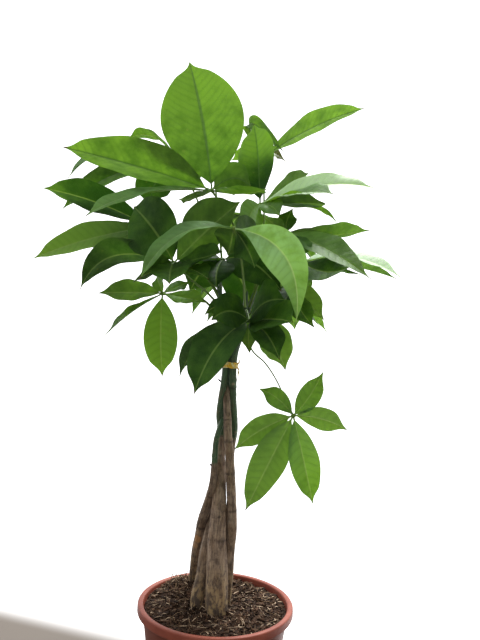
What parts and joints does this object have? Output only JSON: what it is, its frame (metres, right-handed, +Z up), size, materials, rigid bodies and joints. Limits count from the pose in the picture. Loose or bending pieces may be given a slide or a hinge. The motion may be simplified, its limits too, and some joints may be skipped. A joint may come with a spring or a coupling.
{
  "type": "potted money tree",
  "caption": "Braided money tree standing in a plain plastic nursery pot of bark soil, its stems held by a gold tie under a crown of palm-shaped leaves.",
  "frame": {"origin": "middle of the pot's flat base, on the surface that it stands on", "axes": "+Z up along the pot's axis, -Y towards the side that the picture shows, +X to its right"},
  "size_m": [0.3984, 0.3706, 0.7311],
  "materials": {
    "pot": "terracotta-coloured moulded plastic, satin",
    "soil": "coarse dark bark and coir",
    "bark": "grey-brown bark below, dark green skin above",
    "foil_tie": "gold foil, bright",
    "leaf": "satin green, light passes through it"
  },
  "bodies": {
    "root": {"leaf_back_high": "leaf", "leaf_back_left": "leaf", "leaf_back_low": "leaf", "leaf_back_low_right": "leaf", "leaf_back_middle": "leaf", "leaf_back_right": "leaf", "leaf_back_top": "leaf", "leaf_crown_front": "leaf", "leaf_front": "leaf", "leaf_hanging": "leaf", "leaf_inner": "leaf", "leaf_left_back": "leaf", "leaf_left_far": "leaf", "leaf_left_front": "leaf", "leaf_left_low": "leaf", "leaf_low_front": "leaf", "leaf_right": "leaf", "leaf_right_low": "leaf", "leaf_right_top": "leaf", "leaf_right_under": "leaf", "leaf_top_back": "leaf", "pot": "pot", "soil": "soil", "stem_back": "bark", "stem_front": "bark", "stem_left": "bark", "stem_left_back": "bark", "stem_right": "bark", "tie": "foil_tie"}
  },
  "joints": []
}
